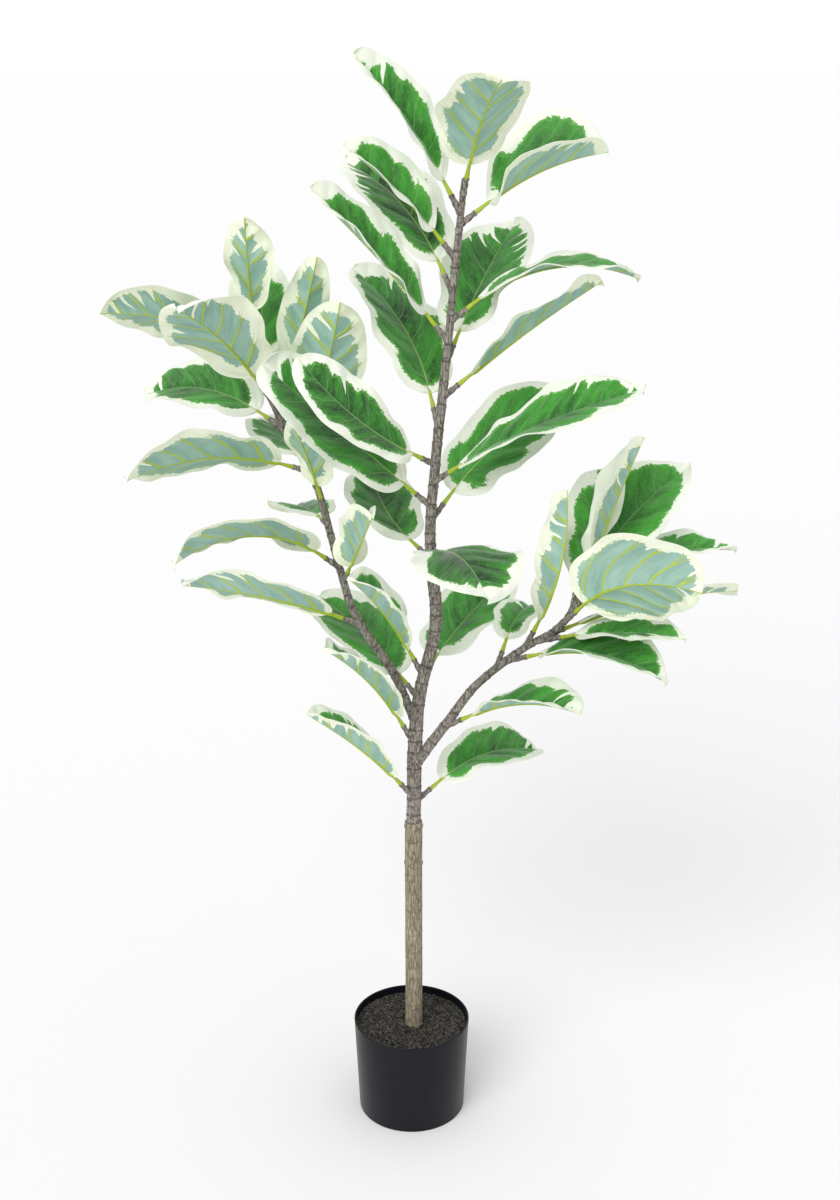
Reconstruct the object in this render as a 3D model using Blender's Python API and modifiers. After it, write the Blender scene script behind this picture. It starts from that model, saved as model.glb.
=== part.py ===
"""Potted fiddle leaf fig: a made, variegated fig tree standing in a round nursery pot.

Metres, +Z up, the origin at the centre of the pot's underside. The trunk stands in the pot's
filling, the main stem is plugged into the trunk, two branches grow out of the main stem, and
every leaf is plugged on a short twig moulded on its stem. Nothing moves.
"""
import math
from typing import NamedTuple

import bmesh
import bpy
import numpy as np
from mathutils import Vector

COLLECTION = "potted_fiddle_leaf_fig"
GAP = 0.0003                 # clearance between two touching pieces

# pot: a round nursery pot, slightly tapered
POT_TOP_RADIUS = 0.075
POT_FOOT_RADIUS = 0.069
POT_HEIGHT = 0.130
POT_WALL = 0.0022
POT_FLOOR = 0.003
POT_EDGE = 0.0015            # rounding of the foot and of the rim
POT_SIDES = 48

# filling: level with its top below the rim
SOIL_DEPTH_BELOW_RIM = 0.009

# trunk: the thick lower length, from the pot's floor up to the seam
TRUNK_X = 0.003              # the tree stands a little to the right of the pot's centre
TRUNK_RADIUS = 0.0110
TRUNK_TOP = 0.415
TRUNK_SIDES = 20
COLLAR_GROWTH = 0.0012       # how far the two rings on the trunk stand out
COLLAR_HALF = 0.004          # half the height of a ring
COLLAR_DROPS = (0.006, 0.058)   # the rings' distances below the trunk's top

# plug that holds the main stem in the trunk
PLUG_RADIUS = 0.005
PLUG_LENGTH = 0.040
PLUG_OVERLAP = 0.010         # how far the plug reaches into the main stem

# stems: route points (x, y, height above the trunk's top) along each centreline, and the radii
# at both ends
STEM_SIDES = 10
STEM_STEP = 0.022            # distance between two rings of a stem
MAIN_ROUTE = (
    (TRUNK_X, 0.0, 0.0), (0.005, 0.0, 0.110), (0.012, 0.0, 0.180), (0.030, 0.0, 0.265),
    (0.023, 0.0, 0.370), (0.030, 0.0, 0.475), (0.042, 0.0, 0.595), (0.052, 0.0, 0.705),
    (0.060, 0.0, 0.785),
)
LEFT_ROUTE = (
    (0.007, 0.000, 0.130), (-0.022, 0.015, 0.195), (-0.066, 0.030, 0.260), (-0.086, 0.038, 0.320),
    (-0.114, 0.048, 0.425), (-0.150, 0.055, 0.490), (-0.174, 0.058, 0.553),
    (-0.182, 0.062, 0.595),
)
RIGHT_ROUTE = (
    (0.003, 0.000, 0.075), (0.046, -0.008, 0.141), (0.081, -0.016, 0.193), (0.133, -0.026, 0.241),
    (0.173, -0.032, 0.269), (0.194, -0.036, 0.297),
)
RADII = {"main": (0.0095, 0.0035), "left": (0.0058, 0.0035), "right": (0.0068, 0.0035)}

# twigs and leaves
TWIG_LENGTH = 0.017          # from the stem's bark
TWIG_RADII = (0.0042, 0.0030)
TWIG_SIDES = 8
STEEPEST_TWIG = 0.35         # sine of the least angle between a twig and its stem
PETIOLE_LENGTH = 0.018
PETIOLE_HALF_WIDTH = 0.0016
PETIOLE_THICKNESS = 0.0032
BLADE_THICKNESS = 0.0012
TIP_WIDTH_SHARE = 0.16       # the blunt tip's width over the blade's
BLADE_WIDTH_FACTOR = 0.990   # makes the outline's widest place the stated width
BASE_POWER = 0.50            # the lower it is, the rounder the blade's base
TIP_POWER = 0.50             # and its tip
WAIST_DEPTH = 0.16           # how much narrower the waist is
WAIST_SHARE = 0.28           # where it lies between base and tip
WAIST_REACH = 0.13
FOLD_START = 4.0             # the fold is full at one over this share of the blade
PETIOLE_END = 5.0            # and the petiole's thickness is gone at one over this share
FINE_STEPS = 10              # steps of the midrib for each cell of the grid
PETIOLE_CELLS = 2
BLADE_CELLS = 7
ACROSS_CELLS = 4
WAVE_HEIGHT = 0.06           # margin wave over the blade's width
WAVE_COUNT = 1.5


class Leaf(NamedTuple):
    """One leaf. Angles in degrees: bearing 0 is +X and 90 is +Y, rise is above the horizontal.

    turn and bend are what bearing and rise gain from the blade's base to its tip, roll turns the
    blade about its midrib, and fold lifts both halves from flat.
    """
    name: str
    stem: str
    height: float            # where the twig leaves the stem, above the trunk's top
    bearing: float
    rise: float
    turn: float
    bend: float
    roll: float
    fold: float
    length: float
    width: float
    wave: float = 0.0        # where the margin's wave starts, in turns


LEAVES = (
    Leaf("leaf_main_01", "main", 0.025, 30, 30, 0, -55, 10, 15, 0.152, 0.095),
    Leaf("leaf_main_02", "main", 0.033, -145, 50, -25, -15, 0, 35, 0.150, 0.075),
    Leaf("leaf_main_03", "main", 0.105, -150, 60, -5, -25, 0, 20, 0.142, 0.095),
    Leaf("leaf_main_04", "main", 0.165, 130, 30, 0, -20, 0, 10, 0.172, 0.115),
    Leaf("leaf_main_05", "main", 0.195, -148, 62, 0, -20, -25, 42, 0.132, 0.072),
    Leaf("leaf_main_06", "main", 0.197, 67, 15, -35, 20, 0, 10, 0.175, 0.110),
    Leaf("leaf_main_07", "main", 0.353, -70, 20, 0, -50, 0, 5, 0.145, 0.130),
    Leaf("leaf_main_08", "main", 0.345, 128, 20, -30, 10, 0, 10, 0.140, 0.098),
    Leaf("leaf_main_09", "main", 0.393, 35, 44, -50, -15, 30, 10, 0.185, 0.120),
    Leaf("leaf_main_10", "main", 0.410, -175, 42, 0, 0, -40, 10, 0.215, 0.122),
    Leaf("leaf_main_11", "main", 0.440, -30, 36, 50, -25, 15, 15, 0.235, 0.105),
    Leaf("leaf_main_12", "main", 0.461, -140, 29, -50, 25, -55, 15, 0.180, 0.080),
    Leaf("leaf_main_13", "main", 0.503, 115, 58, 40, -25, 0, 10, 0.185, 0.115),
    Leaf("leaf_main_14", "main", 0.540, 0, 40, 0, -8, -15, 20, 0.180, 0.090),
    Leaf("leaf_main_15", "main", 0.580, 58, 48, 0, -15, 0, 15, 0.170, 0.115),
    Leaf("leaf_main_16", "main", 0.605, -170, 52, 0, -10, -30, 30, 0.190, 0.080),
    Leaf("leaf_main_17", "main", 0.628, 0, 38, 0, -62, 0, 10, 0.190, 0.090),
    Leaf("leaf_main_18", "main", 0.660, 130, 52, 15, -35, -15, 15, 0.180, 0.105),
    Leaf("leaf_main_19", "main", 0.697, 180, 52, 0, -20, -33, 35, 0.135, 0.075),
    Leaf("leaf_main_20", "main", 0.735, 0, 38, -10, -30, 20, 48, 0.142, 0.125),
    Leaf("leaf_main_21", "main", 0.747, 180, 62, 0, -18, -33, 30, 0.165, 0.078),
    Leaf("leaf_main_22", "main", 0.768, -75, 55, 0, -30, 0, 15, 0.145, 0.105),
    Leaf("leaf_right_01", "right", 0.131, -28, 32, -15, -35, 0, 25, 0.155, 0.085),
    Leaf("leaf_right_02", "right", 0.215, 66, 40, 0, -60, 0, 10, 0.090, 0.065),
    Leaf("leaf_right_03", "right", 0.225, -25, 20, 5, -50, 0, 20, 0.160, 0.105),
    Leaf("leaf_right_04", "right", 0.243, -25, 65, 0, 30, 0, 60, 0.165, 0.064),
    Leaf("leaf_right_05", "right", 0.253, -12, 13, 0, -22, 5, 15, 0.130, 0.073),
    Leaf("leaf_right_06", "right", 0.259, 14, 17, 0, -20, -25, 10, 0.205, 0.085),
    Leaf("leaf_right_07", "right", 0.277, -45, 45, 30, -60, -65, 10, 0.155, 0.140),
    Leaf("leaf_right_08", "right", 0.267, 25, 38, -30, -42, 0, 15, 0.205, 0.090),
    Leaf("leaf_right_09", "right", 0.283, 45, 50, -30, -20, 20, 15, 0.200, 0.110),
    Leaf("leaf_right_10", "right", 0.291, 60, 72, 10, -55, 0, 10, 0.160, 0.070),
    Leaf("leaf_right_11", "right", 0.297, 10, 72, 0, -5, 0, 62, 0.170, 0.056),
    Leaf("leaf_left_01", "left", 0.253, -160, 25, -20, -20, 35, 10, 0.185, 0.100),
    Leaf("leaf_left_02", "left", 0.305, -70, 45, 0, 0, 0, 62, 0.120, 0.080),
    Leaf("leaf_left_03", "left", 0.323, -150, 38, -20, -75, 30, 10, 0.185, 0.105),
    Leaf("leaf_left_04", "left", 0.385, -120, 68, 0, -15, 0, 20, 0.095, 0.070),
    Leaf("leaf_left_05", "left", 0.375, 110, 0, 0, -25, 0, 10, 0.140, 0.085),
    Leaf("leaf_left_06", "left", 0.440, -155, 20, 0, -40, 40, 10, 0.190, 0.110),
    Leaf("leaf_left_07", "left", 0.453, -30, 72, 0, 5, -50, 10, 0.160, 0.095),
    Leaf("leaf_left_08", "left", 0.447, 110, 5, 0, 0, 0, 10, 0.150, 0.085),
    Leaf("leaf_left_09", "left", 0.490, 150, 25, 0, -50, -25, 15, 0.175, 0.105),
    Leaf("leaf_left_10", "left", 0.501, 5, 76, 0, 0, -80, 10, 0.155, 0.060),
    Leaf("leaf_left_11", "left", 0.525, -130, 50, 10, -25, 30, 10, 0.160, 0.115),
    Leaf("leaf_left_12", "left", 0.537, 100, 60, 0, -20, 0, 10, 0.130, 0.080),
    Leaf("leaf_left_13", "left", 0.545, -170, 45, 0, -50, 45, 10, 0.172, 0.095),
    Leaf("leaf_left_14", "left", 0.589, -100, 75, 0, 10, 0, 15, 0.110, 0.062),
)


# ---------------------------------------------------------------- materials and plain helpers
def material(name, rgb, roughness):
    """A plain Principled material with a colour, a roughness and no metal."""
    mat = bpy.data.materials.new(name)
    mat.use_nodes = True
    shader = mat.node_tree.nodes["Principled BSDF"]
    shader.inputs["Base Color"].default_value = (*rgb, 1.0)
    shader.inputs["Roughness"].default_value = roughness
    shader.inputs["Metallic"].default_value = 0.0
    mat.diffuse_color = (*rgb, 1.0)
    return mat


def link(obj, collection, mat=None):
    """Put the object in its collection, with its material."""
    collection.objects.link(obj)
    if mat:
        obj.data.materials.append(mat)
    return obj


def evaluated_mesh(obj, name):
    """The object's mesh with its modifiers or its bevel worked out, and loose caps welded on."""
    bpy.context.view_layer.update()
    depsgraph = bpy.context.evaluated_depsgraph_get()
    mesh = bpy.data.meshes.new_from_object(obj.evaluated_get(depsgraph), depsgraph=depsgraph)
    mesh.name = name
    shape = bmesh.new()
    shape.from_mesh(mesh)
    bmesh.ops.remove_doubles(shape, verts=shape.verts, dist=1e-6)
    bmesh.ops.recalc_face_normals(shape, faces=shape.faces)
    shape.to_mesh(mesh)
    shape.free()
    return mesh


def as_helper(obj):
    """Mark a cutter as a helper, which is no piece of the object."""
    obj.hide_render = True
    obj.display_type = "WIRE"


def boolean(obj, other, operation):
    """Add one exact Boolean with another mesh object, which becomes a helper."""
    cut = obj.modifiers.new(f"{operation.lower()}_{other.name}", "BOOLEAN")
    cut.operation = operation
    cut.solver = "EXACT"
    cut.object = other
    as_helper(other)


def turned(name, profile, collection, mat, sides, centre=(0.0, 0.0)):
    """A turned piece: a profile of (radius, height) points swept round an upright axis.

    A profile that starts and ends off the axis is closed on itself.
    """
    mesh = bpy.data.meshes.new(name)
    shape = bmesh.new()
    points = [shape.verts.new((radius, 0.0, height)) for radius, height in profile]
    for first, second in zip(points, points[1:]):
        shape.edges.new((first, second))
    if profile[0][0] > 0.0:
        shape.edges.new((points[-1], points[0]))
    shape.to_mesh(mesh)
    shape.free()
    obj = link(bpy.data.objects.new(name, mesh), collection, mat)
    obj.location = (centre[0], centre[1], 0.0)
    screw = obj.modifiers.new("turn", "SCREW")
    screw.steps = sides
    screw.render_steps = sides
    screw.use_merge_vertices = True
    screw.merge_threshold = 1e-5
    screw.use_normal_calculate = True
    return obj


def smooth_route(points, step):
    """Points every step or so along a Catmull-Rom curve through a route that starts at the
    trunk's top."""
    route = np.array(points) + (0.0, 0.0, TRUNK_TOP)
    ends = np.vstack([2 * route[0] - route[1], route, 2 * route[-1] - route[-2]])
    parts = []
    for before, start, end, after in zip(ends, ends[1:], ends[2:], ends[3:]):
        count = max(2, round(float(np.linalg.norm(end - start)) / step))
        t = np.arange(count)[:, None] / count
        parts.append(0.5 * (2 * start + (end - before) * t
                            + (2 * before - 5 * start + 4 * end - after) * t ** 2
                            + (3 * start - before - 3 * end + after) * t ** 3))
    return np.vstack(parts + [route[-1:]])


def tube(name, points, radii, collection, extra=0.0):
    """A tapering round stem along the points, closed by flat caps, as a mesh object."""
    curve = bpy.data.curves.new(name + "_curve", "CURVE")
    curve.dimensions = "3D"
    curve.bevel_depth = 1.0
    curve.bevel_resolution = STEM_SIDES // 2 - 2
    curve.use_fill_caps = True
    spline = curve.splines.new("POLY")
    spline.points.add(len(points) - 1)
    for index, point in enumerate(points):
        share = index / (len(points) - 1)
        spline.points[index].co = (*point, 1.0)
        spline.points[index].radius = radii[0] + (radii[1] - radii[0]) * share + extra
    guide = bpy.data.objects.new(name + "_guide", curve)
    collection.objects.link(guide)
    mesh = evaluated_mesh(guide, name)
    obj = bpy.data.objects.new(name, mesh)
    obj.matrix_world = guide.matrix_world
    collection.objects.link(obj)
    bpy.data.objects.remove(guide)
    return obj


# ---------------------------------------------------------------- pot, filling and trunk
def pot_inner_radius(height):
    """The pot's inside radius at a height."""
    share = height / POT_HEIGHT
    return POT_FOOT_RADIUS + (POT_TOP_RADIUS - POT_FOOT_RADIUS) * share - POT_WALL


def make_pot(collection):
    """The pot's shell: one wall and a flat floor, with rounded foot and rim."""
    edge = POT_EDGE
    profile = (
        (0.0, POT_FLOOR),
        (pot_inner_radius(POT_FLOOR), POT_FLOOR),
        (pot_inner_radius(POT_HEIGHT), POT_HEIGHT - edge / 2),
        (POT_TOP_RADIUS - POT_WALL / 2, POT_HEIGHT),
        (POT_TOP_RADIUS, POT_HEIGHT - edge / 2),
        (POT_FOOT_RADIUS, edge),
        (POT_FOOT_RADIUS - edge / 3, edge / 3),
        (POT_FOOT_RADIUS - edge, 0.0),
        (0.0, 0.0),
    )
    return turned("pot", profile, collection, material("pot_plastic", (0.027, 0.026, 0.033), 0.4),
                  POT_SIDES)


def make_soil(collection):
    """The filling: it fills the pot up to below the rim, with a bore for the trunk."""
    bottom = POT_FLOOR + GAP
    top = POT_HEIGHT - SOIL_DEPTH_BELOW_RIM
    profile = (
        (0.0, top),
        (pot_inner_radius(top) - 2 * GAP, top),
        (pot_inner_radius(bottom) - 2 * GAP, bottom),
        (0.0, bottom),
    )
    soil = turned("soil", profile, collection, material("filling", (0.06, 0.052, 0.045), 0.95),
                  POT_SIDES)
    bore = upright_cylinder("trunk_bore", TRUNK_RADIUS + GAP, POT_HEIGHT, 0.0, collection)
    boolean(soil, bore, "DIFFERENCE")
    return soil


def upright_cylinder(name, radius, height, bottom, collection):
    """A plain cylinder on the trunk's axis."""
    mesh = bpy.data.meshes.new(name)
    shape = bmesh.new()
    bmesh.ops.create_cone(shape, cap_ends=True, segments=TRUNK_SIDES, radius1=radius,
                          radius2=radius, depth=height)
    bmesh.ops.translate(shape, verts=shape.verts, vec=(TRUNK_X, 0.0, bottom + height / 2))
    shape.to_mesh(mesh)
    shape.free()
    return link(bpy.data.objects.new(name, mesh), collection)


def make_trunk(collection):
    """The trunk: a turned rod with two raised rings and a blind socket in its top."""
    foot = POT_FLOOR + GAP
    socket_floor = TRUNK_TOP - PLUG_LENGTH - GAP
    side = []
    for drop in COLLAR_DROPS:
        ring = TRUNK_TOP - drop
        side.append((TRUNK_RADIUS, ring + COLLAR_HALF))
        side.append((TRUNK_RADIUS + COLLAR_GROWTH, ring))
        side.append((TRUNK_RADIUS, ring - COLLAR_HALF))
    profile = (
        (0.0, socket_floor),
        (PLUG_RADIUS + GAP, socket_floor),
        (PLUG_RADIUS + GAP, TRUNK_TOP),
        (TRUNK_RADIUS, TRUNK_TOP),
        *side,
        (TRUNK_RADIUS, foot),
        (0.0, foot),
    )
    return turned("trunk", profile, collection, material("trunk_bark", (0.38, 0.33, 0.24), 0.8),
                  TRUNK_SIDES, (TRUNK_X, 0.0))


# ---------------------------------------------------------------- stems and twigs
def direction(bearing, rise):
    """The unit vector of a bearing and a rise, both in degrees."""
    turn, lift = math.radians(bearing), math.radians(rise)
    return Vector((math.cos(lift) * math.cos(turn), math.cos(lift) * math.sin(turn),
                   math.sin(lift)))


def stem_point(route, height):
    """The point of a stem's centreline at a height, read from its smoothed route."""
    return Vector([float(np.interp(height, route[:, 2], line)) for line in route.T])


def twig_line(leaf, routes):
    """Where a leaf's twig starts on the stem's centreline, its way, and its length to its end."""
    route = routes[leaf.stem]
    height = TRUNK_TOP + leaf.height
    start = stem_point(route, height)
    way = direction(leaf.bearing, leaf.rise)
    row = min(int(np.searchsorted(route[:, 2], height)), len(route) - 1)
    stem_way = Vector(route[row] - route[row - 1]).normalized()
    slant = max(STEEPEST_TWIG, way.cross(stem_way).length)
    first, last = RADII[leaf.stem]
    radius = first + (last - first) * row / (len(route) - 1)
    return start, way, radius / slant + TWIG_LENGTH


def add_twigs(stem, routes, leaves, collection):
    """Union one short twig with the stem for each leaf that it carries."""
    shape = bmesh.new()
    for leaf in leaves:
        start, way, length = twig_line(leaf, routes)
        place = way.to_track_quat("Z", "Y").to_matrix().to_4x4()
        place.translation = start + way * length / 2
        bmesh.ops.create_cone(shape, cap_ends=True, segments=TWIG_SIDES, radius1=TWIG_RADII[0],
                              radius2=TWIG_RADII[1], depth=length, matrix=place)
    mesh = bpy.data.meshes.new(stem.name + "_twigs")
    shape.to_mesh(mesh)
    shape.free()
    twigs = bpy.data.objects.new(stem.name + "_twigs", mesh)
    collection.objects.link(twigs)
    boolean(stem, twigs, "UNION")
    stem.modifiers[-1].use_self = True


def make_stems(routes, collection, helpers, mat):
    """The main stem with its plug, and the two branches coped to it, each with its twigs."""
    names = {"main": "main_stem", "left": "left_branch", "right": "right_branch"}
    for key, route in routes.items():
        points = route.copy()
        if key == "main":
            points[0, 2] += GAP
        stem = tube(names[key], points, RADII[key], collection)
        stem.data.materials.append(mat)
        if key == "main":
            plug = upright_cylinder("stem_plug", PLUG_RADIUS, PLUG_LENGTH + PLUG_OVERLAP,
                                    TRUNK_TOP - PLUG_LENGTH, helpers)
            boolean(stem, plug, "UNION")
        add_twigs(stem, routes, [leaf for leaf in LEAVES if leaf.stem == key], helpers)
        if key != "main":
            cope = tube(names[key] + "_cope", routes["main"], RADII["main"], helpers, extra=GAP)
            boolean(stem, cope, "DIFFERENCE")


# ---------------------------------------------------------------- leaves
def blade_half_width(share, width):
    """Half the blade's width: a rounded base, a slight waist and a broad outer half."""
    body = share ** BASE_POWER * (1.0 - share) ** TIP_POWER
    waist = 1.0 - WAIST_DEPTH * math.exp(-((share - WAIST_SHARE) / WAIST_REACH) ** 2)
    return BLADE_WIDTH_FACTOR * width * body * waist


def midrib_frames(leaf, start):
    """The places and the three directions (along, across, up) at each row of the leaf's grid."""
    rows = []
    place = start.copy()
    for step in range((PETIOLE_CELLS + BLADE_CELLS) * FINE_STEPS + 1):
        on_blade = step - PETIOLE_CELLS * FINE_STEPS
        share = max(0.0, on_blade / (BLADE_CELLS * FINE_STEPS))
        bearing = leaf.bearing + leaf.turn * share
        along = direction(bearing, leaf.rise + leaf.bend * share)
        across = direction(bearing + 90.0, 0.0)
        up = along.cross(across)
        roll = math.radians(leaf.roll) * min(1.0, step / (PETIOLE_CELLS * FINE_STEPS))
        rolled = across * math.cos(roll) + up * math.sin(roll)
        if step % FINE_STEPS == 0:
            rows.append((share, place.copy(), rolled, along.cross(rolled)))
        cell = PETIOLE_LENGTH / PETIOLE_CELLS if on_blade < 0 else leaf.length / BLADE_CELLS
        place += along * cell / FINE_STEPS
    return rows


def leaf_point(leaf, share, row, u):
    """The point at u across (-1 to 1) a row of the leaf's grid."""
    place, across, up = row
    half = PETIOLE_HALF_WIDTH
    if share > 0.0:
        tip = TIP_WIDTH_SHARE * leaf.width / 2 if share > 0.999 else 0.0
        half = max(half, tip, blade_half_width(share, leaf.width))
    fold = math.radians(leaf.fold) * min(1.0, FOLD_START * share)
    wave = math.sin(2 * math.pi * (WAVE_COUNT * share + leaf.wave + 0.25 * u))
    lift = half * abs(u) * math.sin(fold) + WAVE_HEIGHT * leaf.width * wave * u * u * share
    return place + across * (half * u * math.cos(fold)) + up * lift


def make_leaf(leaf, routes, collection, mat):
    """One leaf: a narrow petiole that widens into the blade, an open grid made solid."""
    start, way, length = twig_line(leaf, routes)
    rows = midrib_frames(leaf, start + way * (length + GAP))
    shape = bmesh.new()
    bmesh.ops.create_grid(shape, x_segments=ACROSS_CELLS, y_segments=PETIOLE_CELLS + BLADE_CELLS,
                          size=1.0)
    shares = []
    for vert in shape.verts:
        row = round((vert.co.y + 1.0) / 2.0 * (PETIOLE_CELLS + BLADE_CELLS))
        share, place, across, up = rows[row]
        shares.append(share)
        vert.co = leaf_point(leaf, share, (place, across, up), vert.co.x)
    mesh = bpy.data.meshes.new(leaf.name)
    shape.to_mesh(mesh)
    shape.free()
    obj = link(bpy.data.objects.new(leaf.name, mesh), collection, mat)
    petiole = obj.vertex_groups.new(name="petiole")
    for index, share in enumerate(shares):
        petiole.add([index], max(0.0, 1.0 - PETIOLE_END * share), "REPLACE")
    solid = obj.modifiers.new("thickness", "SOLIDIFY")
    solid.thickness = PETIOLE_THICKNESS
    solid.vertex_group = petiole.name
    solid.thickness_vertex_group = BLADE_THICKNESS / PETIOLE_THICKNESS
    solid.offset = 0.0
    return obj


def main():
    for old in list(bpy.data.objects):
        bpy.data.objects.remove(old)
    collection = bpy.data.collections.new(COLLECTION)
    helpers = bpy.data.collections.new("cutters")
    bpy.context.scene.collection.children.link(collection)
    bpy.context.scene.collection.children.link(helpers)

    routes = {
        "main": smooth_route(MAIN_ROUTE, STEM_STEP),
        "left": smooth_route(LEFT_ROUTE, STEM_STEP),
        "right": smooth_route(RIGHT_ROUTE, STEM_STEP),
    }
    make_pot(collection)
    make_soil(collection)
    make_trunk(collection)
    make_stems(routes, collection, helpers, material("stem_bark", (0.17, 0.15, 0.13), 0.85))
    leaf_mat = material("leaf", (0.07, 0.20, 0.06), 0.45)
    for leaf in LEAVES:
        make_leaf(leaf, routes, collection, leaf_mat)


if __name__ == "__main__":
    main()
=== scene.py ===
"""Potted fiddle leaf fig: the finished surfaces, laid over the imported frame.

A made, variegated fig tree in a nursery pot. Every surface is worked out with numpy: pot, filling,
trunk, stems with their twigs, and one blade with its petiole for each leaf. Metres, +Z up, the
origin at the centre of the pot's underside.
"""
import math
from typing import NamedTuple

import bpy
import numpy as np
from bpy.props import FloatProperty, FloatVectorProperty, IntProperty, PointerProperty
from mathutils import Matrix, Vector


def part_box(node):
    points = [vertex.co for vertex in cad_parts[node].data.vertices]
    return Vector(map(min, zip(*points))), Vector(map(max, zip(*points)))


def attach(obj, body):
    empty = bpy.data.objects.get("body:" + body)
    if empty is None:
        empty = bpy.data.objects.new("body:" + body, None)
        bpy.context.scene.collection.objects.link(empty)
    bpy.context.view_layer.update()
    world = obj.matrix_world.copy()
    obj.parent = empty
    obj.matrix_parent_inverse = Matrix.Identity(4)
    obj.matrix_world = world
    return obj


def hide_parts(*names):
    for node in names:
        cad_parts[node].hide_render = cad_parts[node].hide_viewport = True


bl_info = {
    "name": "Potted Fiddle Leaf Fig",
    "version": (1, 0, 0),
    "blender": (4, 5, 0),
    "location": "View3D > Sidebar > Fig",
    "description": "Builds the surfaces of a variegated fiddle leaf fig in a nursery pot",
    "category": "Add Mesh",
}

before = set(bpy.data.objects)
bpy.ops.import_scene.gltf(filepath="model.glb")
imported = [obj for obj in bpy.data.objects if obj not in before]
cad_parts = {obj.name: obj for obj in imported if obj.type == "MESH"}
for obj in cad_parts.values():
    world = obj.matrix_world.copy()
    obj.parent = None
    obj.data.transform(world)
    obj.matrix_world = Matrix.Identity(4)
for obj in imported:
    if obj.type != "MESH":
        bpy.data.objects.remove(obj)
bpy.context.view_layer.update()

# The routes, radii and leaves below are the design's own, and match the frame's solids.
CLEARANCE = 0.0003
SOIL_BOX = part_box("soil")
TRUNK_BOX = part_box("trunk")
POT_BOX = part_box("pot")
TRUNK_X = (TRUNK_BOX[0][0] + TRUNK_BOX[1][0]) / 2
TRUNK_TOP = TRUNK_BOX[1][2]
ROUTES = {
    "main": (
        (TRUNK_X, 0.0, 0.0), (0.005, 0.0, 0.110), (0.012, 0.0, 0.180), (0.030, 0.0, 0.265),
        (0.023, 0.0, 0.370), (0.030, 0.0, 0.475), (0.042, 0.0, 0.595), (0.052, 0.0, 0.705),
        (0.060, 0.0, 0.785),
    ),
    "left": (
        (0.007, 0.000, 0.130), (-0.022, 0.015, 0.195), (-0.066, 0.030, 0.260),
        (-0.086, 0.038, 0.320), (-0.114, 0.048, 0.425), (-0.150, 0.055, 0.490),
        (-0.174, 0.058, 0.553), (-0.182, 0.062, 0.595),
    ),
    "right": (
        (0.003, 0.000, 0.075), (0.046, -0.008, 0.141), (0.081, -0.016, 0.193),
        (0.133, -0.026, 0.241), (0.173, -0.032, 0.269), (0.194, -0.036, 0.297),
    ),
}
RADII = {"main": (0.0095, 0.0035), "left": (0.0058, 0.0035), "right": (0.0068, 0.0035)}
STEM_NODES = {"main": "main_stem", "left": "left_branch", "right": "right_branch"}
PLUG_RADIUS = 0.005          # the main stem's plug, which stands in the trunk's socket
PLUG_LENGTH = 0.040
SOIL_DRAFT = 0.046           # how much the filling's radius narrows for each metre down
COLLAR_DROPS = (0.006, 0.058)    # of the trunk's two collars, below its top
COLLAR_HEIGHT, COLLAR_WIDTH = 0.0011, 0.0022
AXIS = 1e-5                  # radius of the tiny ring that closes a turned surface on its axis

# Corners round each turned or tubular surface, and the rings and rows of the grids.
POT_SIDES, SOIL_SIDES, TRUNK_SIDES = 128, 144, 40
STEM_SIDES, TWIG_SIDES, PETIOLE_SIDES = 24, 16, 12
SOIL_RINGS = 34
BLADE_ROWS, BLADE_COLUMNS = 84, 41

# A vein's lane: along - LANE_SLOPE |across| - LANE_CURVE across squared, moved by LANE_STEP of the
# vein spacing, up on one half of the blade and down on the other, and by LANE_WANDER times a slow
# noise in the print, or times the noise's mean of a half in the mesh.
LANE_SLOPE, LANE_CURVE, LANE_STEP, LANE_WANDER = 0.80, 6.0, 0.2, 0.012
BLADE_FULLNESS = 0.990

CAMERA_PLACE = (0.011, -1.88, 1.375)
CAMERA_TILT = 19.5           # degrees below level


class Leaf(NamedTuple):
    """One leaf. Angles in degrees: bearing 0 is +X and 90 is +Y, rise is above the horizontal.

    turn and bend are what bearing and rise gain from the blade's base to its tip, roll turns the
    blade about its midrib, and fold lifts both halves from flat.
    """
    name: str
    stem: str
    height: float
    bearing: float
    rise: float
    turn: float
    bend: float
    roll: float
    fold: float
    length: float
    width: float


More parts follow.
